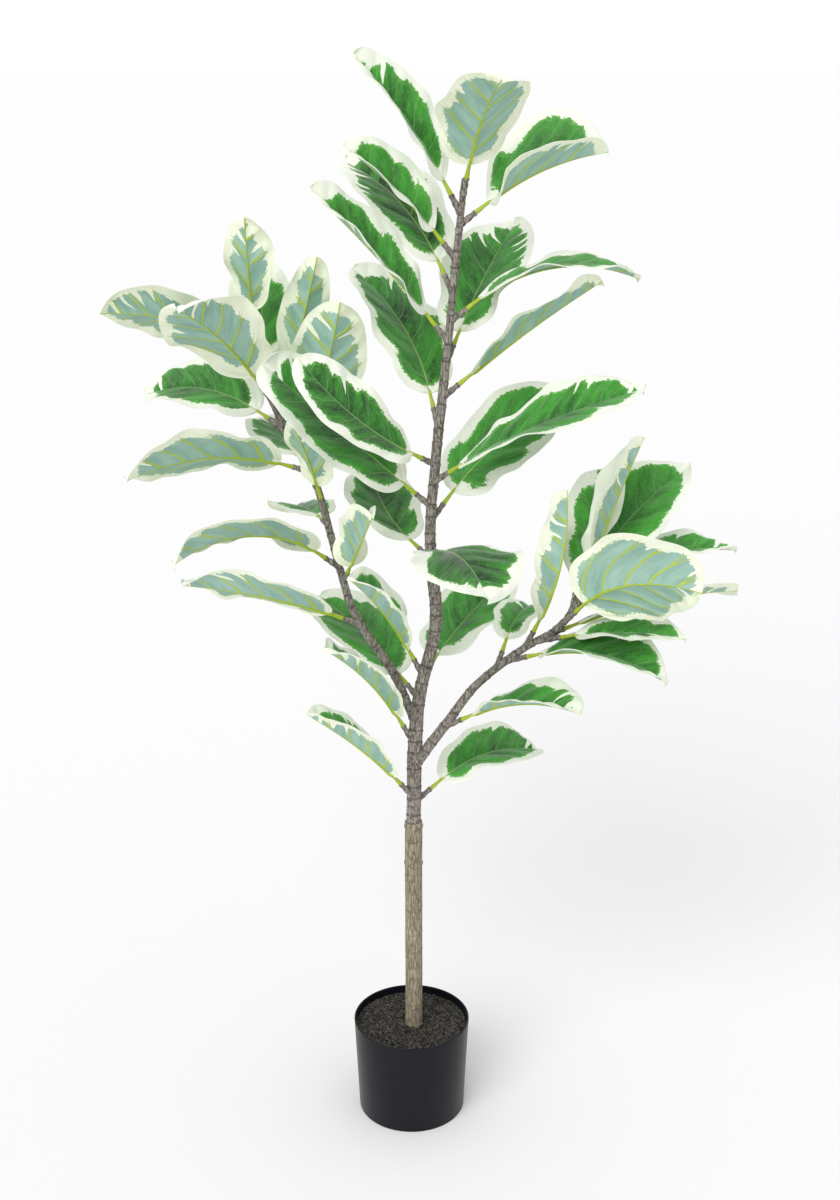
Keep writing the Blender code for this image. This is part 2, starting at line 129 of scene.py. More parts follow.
# One row for each leaf, in the order of Leaf after its name and stem, which the rows' places give.
LEAF_ROWS = {
    "main": (
        (0.025, 30, 30, 0, -55, 10, 15, 0.152, 0.095),
        (0.033, -145, 50, -25, -15, 0, 35, 0.150, 0.075),
        (0.105, -150, 60, -5, -25, 0, 20, 0.142, 0.095),
        (0.165, 130, 30, 0, -20, 0, 10, 0.172, 0.115),
        (0.195, -148, 62, 0, -20, -25, 42, 0.132, 0.072),
        (0.197, 67, 15, -35, 20, 0, 10, 0.175, 0.110),
        (0.353, -70, 20, 0, -50, 0, 5, 0.145, 0.130),
        (0.345, 128, 20, -30, 10, 0, 10, 0.140, 0.098),
        (0.393, 35, 44, -50, -15, 30, 10, 0.185, 0.120),
        (0.410, -175, 42, 0, 0, -40, 10, 0.215, 0.122),
        (0.440, -30, 36, 50, -25, 15, 15, 0.235, 0.105),
        (0.461, -140, 29, -50, 25, -55, 15, 0.180, 0.080),
        (0.503, 115, 58, 40, -25, 0, 10, 0.185, 0.115),
        (0.540, 0, 40, 0, -8, -15, 20, 0.180, 0.090),
        (0.580, 58, 48, 0, -15, 0, 15, 0.170, 0.115),
        (0.605, -170, 52, 0, -10, -30, 30, 0.190, 0.080),
        (0.628, 0, 38, 0, -62, 0, 10, 0.190, 0.090),
        (0.660, 130, 52, 15, -35, -15, 15, 0.180, 0.105),
        (0.697, 180, 52, 0, -20, -33, 35, 0.135, 0.075),
        (0.735, 0, 38, -10, -30, 20, 48, 0.142, 0.125),
        (0.747, 180, 62, 0, -18, -33, 30, 0.165, 0.078),
        (0.768, -75, 55, 0, -30, 0, 15, 0.145, 0.105),
    ),
    "right": (
        (0.131, -28, 32, -15, -35, 0, 25, 0.155, 0.085),
        (0.215, 66, 40, 0, -60, 0, 10, 0.090, 0.065),
        (0.225, -25, 20, 5, -50, 0, 20, 0.160, 0.105),
        (0.243, -25, 65, 0, 30, 0, 60, 0.165, 0.064),
        (0.253, -12, 13, 0, -22, 5, 15, 0.130, 0.073),
        (0.259, 14, 17, 0, -20, -25, 10, 0.205, 0.085),
        (0.277, -45, 45, 30, -60, -65, 10, 0.155, 0.140),
        (0.267, 25, 38, -30, -42, 0, 15, 0.205, 0.090),
        (0.283, 45, 50, -30, -20, 20, 15, 0.200, 0.110),
        (0.291, 60, 72, 10, -55, 0, 10, 0.160, 0.070),
        (0.297, 10, 72, 0, -5, 0, 62, 0.170, 0.056),
    ),
    "left": (
        (0.253, -160, 25, -20, -20, 35, 10, 0.185, 0.100),
        (0.305, -70, 45, 0, 0, 0, 62, 0.120, 0.080),
        (0.323, -150, 38, -20, -75, 30, 10, 0.185, 0.105),
        (0.385, -120, 68, 0, -15, 0, 20, 0.095, 0.070),
        (0.375, 110, 0, 0, -25, 0, 10, 0.140, 0.085),
        (0.440, -155, 20, 0, -40, 40, 10, 0.190, 0.110),
        (0.453, -30, 72, 0, 5, -50, 10, 0.160, 0.095),
        (0.447, 110, 5, 0, 0, 0, 10, 0.150, 0.085),
        (0.490, 150, 25, 0, -50, -25, 15, 0.175, 0.105),
        (0.501, 5, 76, 0, 0, -80, 10, 0.155, 0.060),
        (0.525, -130, 50, 10, -25, 30, 10, 0.160, 0.115),
        (0.537, 100, 60, 0, -20, 0, 10, 0.130, 0.080),
        (0.545, -170, 45, 0, -50, 45, 10, 0.172, 0.095),
        (0.589, -100, 75, 0, 10, 0, 15, 0.110, 0.062),
    ),
}
LEAVES = tuple(Leaf(f"leaf_{stem}_{number:02d}", stem, *row)
               for stem, rows in LEAF_ROWS.items() for number, row in enumerate(rows, 1))


def linear(code):
    """A colour from its sRGB hex code, as linear red, green and blue."""
    values = [int(code[i:i + 2], 16) / 255.0 for i in (0, 2, 4)]
    return tuple(v / 12.92 if v <= 0.04045 else ((v + 0.055) / 1.055) ** 2.4 for v in values)


def colour(name, description, code):
    """A colour property that starts from a hex code."""
    return FloatVectorProperty(name=name, description=description, subtype="COLOR", size=3,
                               min=0.0, max=1.0, default=linear(code))


def length(name, description, value):
    """A length property in metres."""
    return FloatProperty(name=name, description=description, unit="LENGTH", precision=5,
                         default=value, min=0.0)


# ---- settings
class FIG_PG_pot(bpy.types.PropertyGroup):
    wall: length("Wall", "Thickness of the pot's wall", 0.0022)
    floor: length("Floor", "Thickness of the pot's floor", 0.003)
    foot_radius: length("Foot radius", "Radius at the pot's foot", 0.069)
    plastic: colour("Plastic", "Black nursery plastic", "0E0C14")


class FIG_PG_soil(bpy.types.PropertyGroup):
    roughness_height: length("Roughness", "Height of the filling's lumps", 0.0016)
    crumbs: IntProperty(name="Crumbs", description="Loose grains on the filling", default=900)
    dark: colour("Dark", "Damp grains", "1B1A18")
    light: colour("Light", "Dry grains and fibres", "8A857C")


class FIG_PG_stems(bpy.types.PropertyGroup):
    trunk_radius: length("Trunk radius", "Radius of the bare trunk", 0.0110)
    ring_spacing: length("Ring spacing", "Mean distance between two growth rings", 0.024)
    ring_height: length("Ring height", "How far a growth ring stands out", 0.0006)
    khaki: colour("Trunk bark", "Light bark of the trunk", "A59B84")
    khaki_dark: colour("Trunk grain", "Grain lines of the trunk", "756C59")
    khaki_worn: colour("Trunk patches", "Worn pale patches of the trunk", "B9B09A")
    # Painted shade: the colour that the trunk's cracks are darkened towards.
    khaki_crack_shade: colour("Trunk cracks", "Cracks of the trunk", "4E4638")
    bark: colour("Stem bark", "Grey-brown bark of the stems", "847C75")
    # Painted shade: the colour that the stems' cracks and pits are darkened towards.
    bark_crack_shade: colour("Stem pits", "Pits and cracks of the stems", "2B2725")
    bark_worn: colour("Stem flecks", "Worn pale flecks of the stems", "ABA49B")


class FIG_PG_leaves(bpy.types.PropertyGroup):
    twig_length: length("Twig length", "Twig beyond the bark", 0.017)
    petiole_length: length("Petiole length", "From the twig to the blade", 0.018)
    blade_thickness: length("Blade thickness", "Cloth blade at the midrib", 0.0009)
    vein_spacing: length("Vein spacing", "Distance between two side veins", 0.032)
    quilting: length("Quilting", "How far the cloth puffs up between two veins", 0.0026)
    ripple: length("Ripple", "Height of the margin's waves", 0.0022)
    green_dark: colour("Deep green", "Shaded streaks of the upper face", "0E3010")
    green_light: colour("Bright green", "Light streaks of the upper face", "43A032")
    green_rim: colour("Green rim", "Ragged rim of the green", "6DBB4A")
    cream: colour("Cream", "Margin of the upper face", "FAFCF3")
    cream_shade: colour("Cream shade", "Tinted parts of the margin", "EFF5E0")
    vein_pale: colour("Pale vein", "Veins on the upper face", "8FBF7C")
    under_blue: colour("Underside", "Middle of the underside", "B2D2C4")
    under_deep: colour("Underside shade", "Darker streaks of the underside", "82ABA0")
    under_cream: colour("Underside margin", "Margin of the underside", "FBFDF0")
    under_shade: colour("Underside margin shade", "Tinted parts of that margin", "EEF6D4")
    vein_lime: colour("Lime vein", "Veins and petioles", "BCD138")
    vein_deep: colour("Lime shade", "Blotches of the petioles", "93A82E")


class FIG_PG_settings(bpy.types.PropertyGroup):
    pot: PointerProperty(type=FIG_PG_pot)
    soil: PointerProperty(type=FIG_PG_soil)
    stems: PointerProperty(type=FIG_PG_stems)
    leaves: PointerProperty(type=FIG_PG_leaves)


# ---- meshes
def quads(rows, columns, wrap):
    """The four-cornered faces of a grid of rows by columns, closed round its columns if wrapped."""
    row, column = np.meshgrid(np.arange(rows - 1), np.arange(columns if wrap else columns - 1),
                              indexing="ij")
    after = (column + 1) % columns
    corners = [row * columns + column, row * columns + after,
               (row + 1) * columns + after, (row + 1) * columns + column]
    return np.stack([c.ravel() for c in corners], axis=1)


def mesh_object(name, surfaces, materials, sharp=50.0):
    """One object from several grids.

    Each surface is (points, faces, slot, uv): points is an array of positions, faces an array of
    corner indices, slot a number or one number for each face, uv one pair for each point or None.
    """
    offset = 0
    points, faces, slots, uvs = [], [], [], []
    for surface_points, surface_faces, slot, uv in surfaces:
        flat = surface_points.reshape(-1, 3)
        points.append(flat)
        faces.append(surface_faces + offset)
        slots.append(np.broadcast_to(slot, len(surface_faces)))
        uvs.append(np.zeros((len(flat), 2)) if uv is None else uv.reshape(-1, 2))
        offset += len(flat)
    points, faces = np.concatenate(points), np.concatenate(faces)
    mesh = bpy.data.meshes.new(name)
    mesh.from_pydata(points.tolist(), [], faces.tolist())
    mesh.polygons.foreach_set("material_index", np.concatenate(slots).astype(np.int32))
    layer = mesh.uv_layers.new(name="surface")
    layer.uv.foreach_set("vector", np.concatenate(uvs)[faces.ravel()].astype(np.float32).ravel())
    mesh.shade_smooth()
    mesh.set_sharp_from_angle(angle=math.radians(sharp))
    for material in materials:
        mesh.materials.append(material)
    mesh.update()
    obj = bpy.data.objects.new(name, mesh)
    bpy.context.scene.collection.objects.link(obj)
    return obj


def number_attribute(obj, name, values):
    """Store one number for each point of the object's mesh."""
    attribute = obj.data.attributes.new(name, "FLOAT", "POINT")
    attribute.data.foreach_set("value", np.asarray(values, dtype=np.float32).ravel())


def around(sides):
    """The angles of evenly spaced corners round an axis."""
    return np.linspace(0.0, 2 * np.pi, sides, endpoint=False)


def turned(profile, sides, centre=(0.0, 0.0)):
    """A profile of (radius, height) rows swept round an upright axis: x = r cos a, y = r sin a."""
    profile = np.asarray(profile)
    angle = around(sides)
    points = np.empty((len(profile), sides, 3))
    points[..., 0] = centre[0] + profile[:, :1] * np.cos(angle)
    points[..., 1] = centre[1] - profile[:, :1] * np.sin(angle)
    points[..., 2] = profile[:, 1:]
    return points


def rounded(profile, radius, steps=5):
    """Round each inner corner of a profile by an arc-like curve that starts radius before it.

    Each corner is replaced by the quadratic curve between the points at that distance on its two
    sides, with the corner itself as the control point.
    """
    points = np.asarray(profile, dtype=float)
    t = np.linspace(0.0, 1.0, steps)[:, None]
    parts = [points[:1]]
    for before, corner, after in zip(points, points[1:], points[2:]):
        start = corner + (before - corner) * min(0.45, radius / np.linalg.norm(before - corner))
        end = corner + (after - corner) * min(0.45, radius / np.linalg.norm(after - corner))
        parts.append((1 - t) ** 2 * start + 2 * t * (1 - t) * corner + t ** 2 * end)
    parts.append(points[-1:])
    return np.concatenate(parts)


def smooth_route(points, step):
    """Points every step or so along a Catmull-Rom curve through a route that starts at the
    trunk's top."""
    route = np.array(points) + (0.0, 0.0, TRUNK_TOP)
    ends = np.vstack([2 * route[0] - route[1], route, 2 * route[-1] - route[-2]])
    parts = []
    for before, start, end, after in zip(ends, ends[1:], ends[2:], ends[3:]):
        count = max(2, round(float(np.linalg.norm(end - start)) / step))
        t = np.arange(count)[:, None] / count
        parts.append(0.5 * (2 * start + (end - before) * t
                            + (2 * before - 5 * start + 4 * end - after) * t ** 2
                            + (3 * start - before - 3 * end + after) * t ** 3))
    return np.vstack(parts + [route[-1:]])


def tube(path, radii, sides):
    """A ring of points round each point of a path.

    The ring lies across the path: its two directions are the path's cross products with a fixed
    sideways direction, so the rings don't twist. radii has one value for each ring, or one for
    each point of each ring.
    """
    along = np.gradient(path, axis=0)
    along /= np.linalg.norm(along, axis=1, keepdims=True)
    sideways = np.cross(along, [0.0, 1.0, 0.05])
    sideways /= np.linalg.norm(sideways, axis=1, keepdims=True)
    upwards = np.cross(sideways, along)
    angle = around(sides)
    radii = np.asarray(radii).reshape(len(path), -1)[..., None]
    ring = (np.cos(angle)[None, :, None] * sideways[:, None, :]
            - np.sin(angle)[None, :, None] * upwards[:, None, :])
    return path[:, None, :] + radii * ring


def capped_tube_faces(rows, sides):
    """Faces of a tube, with both ends closed by quads between opposite sides of the ring."""
    half = np.arange(sides // 2 - 1)
    caps = []
    for base, flip in ((0, True), ((rows - 1) * sides, False)):
        cap = np.stack([base + half, base + half + 1, base + sides - 2 - half,
                        base + sides - 1 - half], axis=1)
        caps.append(cap[:, ::-1] if flip else cap)
    return np.concatenate([quads(rows, sides, True)] + caps)


# ---- nodes
def add(tree, kind, inputs=(), **settings):
    """Add one node: settings are its attributes; inputs, a list or a dict by name or number, gives
    its sockets a value, a socket, or a node whose first live output is taken. None is skipped."""
    node = tree.nodes.new("ShaderNode" + kind)
    for name, value in settings.items():
        setattr(node, name, value)
    for key, value in inputs.items() if isinstance(inputs, dict) else enumerate(inputs):
        if isinstance(value, bpy.types.Node):
            value = next(output for output in value.outputs if output.enabled)
        if isinstance(value, bpy.types.NodeSocket):
            tree.links.new(value, node.inputs[key])
        elif value is not None:
            socket = node.inputs[key]
            socket.default_value = (*value, 1.0) if socket.type == "RGBA" else value
    return node


def principled(name, roughness, ior, specular=0.5, sheen=0.0):
    """A material with its Principled shader; the constants are set on the shader's own sockets."""
    material = bpy.data.materials.new(name)
    material.use_nodes = True
    shader = material.node_tree.nodes["Principled BSDF"]
    shader.inputs["Roughness"].default_value = roughness
    shader.inputs["IOR"].default_value = ior
    shader.inputs["Specular IOR Level"].default_value = specular
    shader.inputs["Sheen Weight"].default_value = sheen
    return material, material.node_tree, shader


def finish(tree, shader, surface, height, strength, depth):
    """Link a colour and a bump of the given depth in metres to the shader."""
    tree.links.new(surface.outputs[2], shader.inputs["Base Color"])
    bump = add(tree, "Bump", {"Strength": strength, "Distance": depth, "Height": height})
    tree.links.new(bump.outputs[0], shader.inputs["Normal"])


# ---- materials
def nursery_plastic(look):
    """Polypropylene, injection moulded: near black and satin, with soft cloudy highlights painted
    into its colour.
    """
    material, tree, shader = principled("moulded_black_polypropylene", 0.34, 1.49, 0.22)
    place = add(tree, "TexCoord").outputs["Object"]
    cloud = add(tree, "TexNoise", {"Vector": place, "Scale": 18.0, "Detail": 3.0})
    # Painted highlight: soft clouds where the base colour is lifted up to 1.5 times.
    painted_highlight_clouds = add(tree, "Mix", {0: cloud, 6: look.plastic, 7: tuple(c * 1.5 for c in look.plastic)},
               data_type="RGBA")
    # Moulded grain of about 1.5 mm, coarser than the real 0.2 mm so that it shows.
    grain = add(tree, "TexNoise", {"Vector": place, "Scale": 650.0, "Detail": 2.0})
    finish(tree, shader, painted_highlight_clouds, grain, 0.12, 0.0003)
    return material


def granular_soil(look):
    """Bonded potting grit: rough grains of 1 to 2 mm, dark, with dry light specks."""
    material, tree, shader = principled("bonded_potting_grit", 0.95, 1.45, 0.2)
    place = add(tree, "TexCoord").outputs["Object"]
    grains = add(tree, "TexVoronoi", {"Vector": place, "Scale": 900.0})
    cloud = add(tree, "TexNoise", {"Vector": place, "Scale": 160.0, "Detail": 4.0})
    one = add(tree, "SeparateColor", [grains.outputs["Color"]])
    speck = add(tree, "Math", [cloud, 0.9, one], operation="MULTIPLY_ADD")
    light = add(tree, "MapRange", [speck, 0.85, 1.75])
    surface = add(tree, "Mix", {0: light, 6: look.dark, 7: look.light}, data_type="RGBA")
    finish(tree, shader, surface, grains, 0.9, 0.0014)
    return material


def upright_cracks(tree, place, slow, sway, stretch, scale, edge):
    """Cells drawn out along Z by 1 / stretch and bent by a slow wander of sway metres.

    Returns the bent and stretched place, and a value that is 0 in a crack and 1 beyond its edge.
    """
    wander = add(tree, "TexNoise", {"Vector": place, "Scale": slow, "Detail": 2.0})
    bent = add(tree, "VectorMath", [wander.outputs["Color"], (sway, sway, 0.0), place],
               operation="MULTIPLY_ADD")
    upright = add(tree, "Mapping", {"Vector": bent, "Scale": (1.0, 1.0, stretch)})
    cells = add(tree, "TexVoronoi", {"Vector": upright, "Scale": scale},
                feature="DISTANCE_TO_EDGE")
    return upright, add(tree, "MapRange", [cells, *edge])


def finish_bark(tree, shader, base, whole, dark, deepest_shade, fine, strength, depth):
    """Paint shade into the cracks, and into those that the mesh stores by each growth ring, and add
    the bump.
    """
    crack = add(tree, "Attribute", attribute_name="crack").outputs["Fac"]
    whole = add(tree, "Math", [whole, crack], operation="SUBTRACT", use_clamp=True)
    # Painted shade: in the cracks and pits the colour is darkened towards the shade colour.
    shade = add(tree, "MapRange", [whole, 0.0, 1.0, deepest_shade, 0.0])
    surface = add(tree, "Mix", {0: shade, 6: base.outputs[2], 7: dark}, data_type="RGBA")
    height = add(tree, "Math", [fine, 0.5, whole], operation="MULTIPLY_ADD")
    finish(tree, shader, surface, height, strength, depth)


def sleeve_bark(look):
    """Foamed PVC bark sleeve: khaki, matte, with painted shade in its wavy upright cracks, and pale
    worn patches.
    """
    material, tree, shader = principled("khaki_pvc_bark", 0.8, 1.5, 0.2)
    place = add(tree, "TexCoord").outputs["Object"]
    # Cracks stand about 4 mm apart and run 30 mm up the trunk, bent by a slow wander.
    upright, whole = upright_cracks(tree, place, 70.0, 0.006, 0.13, 250.0, (0.01, 0.10))
    grain = add(tree, "TexNoise", {"Vector": upright, "Scale": 700.0, "Detail": 4.0})
    patches = add(tree, "TexNoise", {"Vector": place, "Scale": 60.0, "Detail": 4.0})
    lines = add(tree, "MapRange", [grain, 0.3, 0.6])
    base = add(tree, "Mix", {0: lines, 6: look.khaki_dark, 7: look.khaki}, data_type="RGBA")
    patch = add(tree, "MapRange", [patches, 0.5, 0.72, 0.0, 0.6])
    worn = add(tree, "Mix", {0: patch, 6: base.outputs[2], 7: look.khaki_worn},
               data_type="RGBA")
    finish_bark(tree, shader, worn, whole, look.khaki_crack_shade, 0.5, grain, 0.8, 0.0009)
    return material


def moulded_bark(look):
    """Moulded polyethylene bark: grey-brown and matte, with painted shade in its upright cracks and
    pits.
    """
    material, tree, shader = principled("moulded_grey_bark", 0.82, 1.5, 0.2)
    place = add(tree, "TexCoord").outputs["Object"]
    # Cracks about 3 mm apart and 19 mm long, and pits about 6 mm apart.
    _, cracks = upright_cracks(tree, place, 110.0, 0.005, 0.16, 330.0, (0.0, 0.08))
    stretched = add(tree, "Mapping", {"Vector": place, "Scale": (1.0, 1.0, 0.5)})
    pits = add(tree, "TexVoronoi", {"Vector": stretched, "Scale": 170.0})
    pit = add(tree, "MapRange", [pits, 0.12, 0.2])
    cloud = add(tree, "TexNoise", {"Vector": place, "Scale": 200.0, "Detail": 5.0})
    tone = add(tree, "MapRange", [cloud, 0.35, 0.68])
    base = add(tree, "Mix", {0: tone, 6: look.bark, 7: look.bark_worn}, data_type="RGBA")
    whole = add(tree, "Math", [cracks, pit], operation="MULTIPLY")
    finish_bark(tree, shader, base, whole, look.bark_crack_shade, 0.7, cloud, 0.9, 0.001)
    return material


class Print(NamedTuple):
    """The sockets of a leaf's printed pattern."""
    green: object
    depth: object
    nearness: object         # 0 on a side vein, 1 about where its width ends
    midrib: object
    streaks: object
    mottle: object
    net: object              # 1 on the net of tiny veins
    shift: object            # how much lighter or darker this leaf is


def leaf_print(tree, look):
    """The pattern that both faces of a blade share.

    The map holds metres across (signed) and along the blade, and the attribute room the distance to
    the margin. Side veins are lines of equal lane (see LANE_SLOPE), one each vein_spacing, wandering
    a little, and each forks on its way out. The green ends where room equals a margin, which a
    coarse noise along the lanes and a fine ragged one make wider or narrower, and which rounded
    gaps near the tip of some leaves cut into. A net of tiny veins lies between the side veins, and
    each leaf's seed draws a shift that makes it lighter or darker.
    """
    surface = add(tree, "SeparateXYZ", [add(tree, "UVMap", uv_map="surface").outputs[0]])
    across, along = surface.outputs[0], surface.outputs[1]
    room, share, seed = (add(tree, "Attribute", attribute_name=name).outputs["Fac"]
                         for name in ("room", "share", "seed"))
    flat = add(tree, "CombineXYZ", [across, along, seed])

    reach = add(tree, "Math", [across], operation="ABSOLUTE")
    side = add(tree, "Math", [across], operation="SIGN")
    wander = add(tree, "TexNoise", {"Vector": flat, "Scale": 24.0, "Detail": 1.0})
    slant = add(tree, "Math", [reach, LANE_CURVE, LANE_SLOPE], operation="MULTIPLY_ADD")
    rise = add(tree, "Math", [reach, slant], operation="MULTIPLY")
    lane = add(tree, "Math", [along, rise], operation="SUBTRACT")
    lane = add(tree, "Math", [side, look.vein_spacing * LANE_STEP, lane],
               operation="MULTIPLY_ADD")
    veined = add(tree, "Math", [wander, LANE_WANDER, lane], operation="MULTIPLY_ADD")

    # One noise along the lanes, with cells of about 38 mm, moves the green's edge in and out.
    lane_spot = add(tree, "CombineXYZ", [lane, add(tree, "Math", [side, 0.37], operation="MULTIPLY"),
                                         seed])
    lobes = add(tree, "TexNoise", {"Vector": lane_spot, "Scale": 26.0, "Detail": 0.8})
    # Near the tip of some leaves, gaps every 22 mm of lane cut the green into rounded fingers.
    shaken = add(tree, "Math", [wander, 0.034, lane], operation="MULTIPLY_ADD")
    finger = add(tree, "Math", [shaken, 0.011], operation="PINGPONG")
    cut = add(tree, "MapRange", [finger, 0.0004, 0.0040, 0.024, 0.0])
    patch = add(tree, "CombineXYZ", [add(tree, "Math", [lane, 0.5], operation="MULTIPLY"),
                                     add(tree, "Math", [side, 0.61], operation="MULTIPLY"),
                                     seed])
    chance = add(tree, "TexNoise", {"Vector": patch, "Scale": 30.0, "Detail": 0.0})
    chance = add(tree, "MapRange", [chance, 0.54, 0.60])
    near_tip = add(tree, "MapRange", [share, 0.45, 0.8], interpolation_type="SMOOTHSTEP")
    cut = add(tree, "Math", [cut, add(tree, "Math", [near_tip, chance], operation="MULTIPLY")],
              operation="MULTIPLY")
    ragged = add(tree, "TexNoise", {"Vector": flat, "Scale": 260.0, "Detail": 3.0,
                                    "Roughness": 0.7})
    margin = add(tree, "Math", [lobes, 0.046, -0.0200], operation="MULTIPLY_ADD")
    margin = add(tree, "Math", [margin, 0.0025], operation="MAXIMUM")
    margin = add(tree, "Math", [ragged, 0.012, margin], operation="MULTIPLY_ADD")
    margin = add(tree, "Math", [margin, cut], operation="ADD")
    depth = add(tree, "Math", [room, margin], operation="SUBTRACT")
    green = add(tree, "MapRange", [depth, -0.0004, 0.0006], interpolation_type="SMOOTHSTEP")

    gap = add(tree, "Math", [veined, look.vein_spacing / 2], operation="PINGPONG")
    fork = add(tree, "MapRange", [room, 0.026, 0.002, 0.0, 0.0052])
    fork_gap = add(tree, "Math", [add(tree, "Math", [gap, fork], operation="SUBTRACT")],
                   operation="ABSOLUTE")
    width = add(tree, "MapRange", [room, 0.004, 0.040, 0.0005, 0.0012])
    nearness = add(tree, "Math", [fork_gap, width], operation="DIVIDE")
    fading = add(tree, "MapRange", [depth, -0.005, 0.001, 1.4, 0.0])
    nearness = add(tree, "Math", [nearness, fading], operation="ADD")
    rib_width = add(tree, "Math", [share, -0.0011, 0.0017], operation="MULTIPLY_ADD")
    rib_nearness = add(tree, "Math", [reach, rib_width], operation="DIVIDE")
    midrib = add(tree, "MapRange", [rib_nearness, 0.4, 1.0, 1.0, 0.0])

    # Soft patches of about 13 mm of lane by 29 mm across; the mottle's cells are about 5 mm.
    along_lane = add(tree, "CombineXYZ", [add(tree, "Math", [lane, 2.2], operation="MULTIPLY"),
                                          across, seed])
    streaks = add(tree, "TexNoise", {"Vector": along_lane, "Scale": 34.0, "Detail": 3.0})
    mottle = add(tree, "TexNoise", {"Vector": flat, "Scale": 220.0, "Detail": 5.0,
                                    "Roughness": 0.65})
    # The net between the side veins has meshes of about 6 mm of lane by 8 mm across.
    net_spot = add(tree, "CombineXYZ", [add(tree, "Math", [veined, 1.5], operation="MULTIPLY"),
                                        across, seed])
    net = add(tree, "TexVoronoi", {"Vector": net_spot, "Scale": 120.0},
              feature="DISTANCE_TO_EDGE")
    net = add(tree, "MapRange", [net, 0.01, 0.06, 1.0, 0.0])
    drawn = add(tree, "TexWhiteNoise", {"W": seed}, noise_dimensions="1D")
    shift = add(tree, "MapRange", [drawn, 0.0, 1.0, -0.22, 0.26])
    return Print(green, depth, nearness, midrib, streaks, mottle, net, shift)


def leaf_upper(look):
    """Printed polyester cloth, upper face: satin green middle, cream margin, fine pale veins."""
    material, tree, shader = principled("printed_polyester_upper", 0.42, 1.45, 0.35, 0.22)
    marks = leaf_print(tree, look)
    # Dark beside the midrib and brighter out to the edge, with soft patches and fine mottle.
    inner = add(tree, "MapRange", [marks.depth, 0.0, 0.035, 0.34, -0.06])
    tone = add(tree, "Math", [marks.streaks, 1.7, -0.72], operation="MULTIPLY_ADD")
    tone = add(tree, "Math", [marks.mottle, 0.55, tone], operation="MULTIPLY_ADD")
    tone = add(tree, "Math", [tone, inner], operation="ADD")
    tone = add(tree, "Math", [tone, marks.shift], operation="ADD", use_clamp=True)
    green = add(tree, "Mix", {0: tone, 6: look.green_dark, 7: look.green_light},
                data_type="RGBA").outputs[2]
    # The last 4.5 mm of the green are paler, and most of all where the mottle is high.
    rim = add(tree, "MapRange", [marks.depth, 0.0045, 0.0, 0.0, 1.0])
    speckle = add(tree, "MapRange", [marks.mottle, 0.42, 0.62, 0.25, 0.95])
    rim = add(tree, "Math", [rim, speckle], operation="MULTIPLY")
    green = add(tree, "Mix", {0: rim, 6: green, 7: look.green_rim}, data_type="RGBA").outputs[2]
    faint = add(tree, "MapRange", [marks.nearness, 0.15, 0.7, 0.55, 0.0])
    line = add(tree, "Math", [marks.midrib, 0.65], operation="MULTIPLY")
    veins = add(tree, "Math", [faint, line], operation="MAXIMUM")
    threads = add(tree, "Math", [marks.net, 0.20], operation="MULTIPLY")
    drawn = add(tree, "Math", [veins, threads], operation="MAXIMUM")
    green = add(tree, "Mix", {0: drawn, 6: green, 7: look.vein_pale}, data_type="RGBA").outputs[2]
    cream = add(tree, "Mix", {0: marks.mottle, 6: look.cream, 7: look.cream_shade},
                data_type="RGBA").outputs[2]
    surface = add(tree, "Mix", {0: marks.green, 6: cream, 7: green}, data_type="RGBA")
    height = add(tree, "Math", [marks.net, 0.25], operation="MULTIPLY")
    height = add(tree, "Math", [veins, height], operation="ADD")
    height = add(tree, "Math", [marks.mottle, 0.6, height], operation="MULTIPLY_ADD")
    # The depth is negative, as the veins are grooves on this face.
    finish(tree, shader, surface, height, 0.6, -0.0007)
    return material


def leaf_under(look):
    """Printed polyester cloth, underside: chalky blue-green middle, cream margin, lime veins."""
    material, tree, shader = principled("printed_polyester_underside", 0.6, 1.45, 0.25)
    marks = leaf_print(tree, look)
    tone = add(tree, "Math", [marks.streaks, 1.6, -0.35], operation="MULTIPLY_ADD",
               use_clamp=True)
    middle = add(tree, "Mix", {0: tone, 6: look.under_deep, 7: look.under_blue},
                 data_type="RGBA").outputs[2]
    margin = add(tree, "Mix", {0: marks.mottle, 6: look.under_cream, 7: look.under_shade},
                 data_type="RGBA").outputs[2]
    face = add(tree, "Mix", {0: marks.green, 6: margin, 7: middle}, data_type="RGBA").outputs[2]
    threads = add(tree, "Math", [marks.net, marks.green], operation="MULTIPLY")
    threads = add(tree, "Math", [threads, 0.16], operation="MULTIPLY")
    faint = add(tree, "MapRange", [marks.nearness, 0.8, 1.7, 1.0, 0.0])
    veins = add(tree, "Math", [faint, marks.midrib], operation="MAXIMUM")
    drawn = add(tree, "Math", [veins, threads], operation="MAXIMUM")
    surface = add(tree, "Mix", {0: drawn, 6: face, 7: look.vein_lime}, data_type="RGBA")
    height = add(tree, "Math", [marks.net, 0.25, veins], operation="MULTIPLY_ADD")
    finish(tree, shader, surface, height, 0.7, 0.0008)
    return material


def petiole_plastic(look):
    """Dipped polyethylene over wire: lime green, satin, blotched with darker green."""
    material, tree, shader = principled("dipped_lime_polyethylene", 0.45, 1.5, 0.4)
    place = add(tree, "TexCoord").outputs["Object"]
    cloud = add(tree, "TexNoise", {"Vector": place, "Scale": 160.0, "Detail": 3.0})
    surface = add(tree, "Mix", {0: cloud, 6: look.vein_lime, 7: look.vein_deep},
                  data_type="RGBA")
    finish(tree, shader, surface, cloud, 0.3, 0.0004)
    return material


# ---- pot, filling and trunk
def pot_surface(look):
    """The pot: its inside, rim, outside and underside as one turned profile with round corners."""
    low, high = POT_BOX
    top_radius = (high[0] - low[0]) / 2
    height = high[2]
    inner_foot = look.foot_radius - look.wall
    inner_top = top_radius - look.wall
    profile = [(AXIS, look.floor), (inner_foot, look.floor), (inner_top, height),
               (top_radius, height), (look.foot_radius, 0.0), (AXIS, 0.0)]
    points = turned(rounded(profile, 0.0009), POT_SIDES)
    return points, capped_tube_faces(len(points), POT_SIDES)


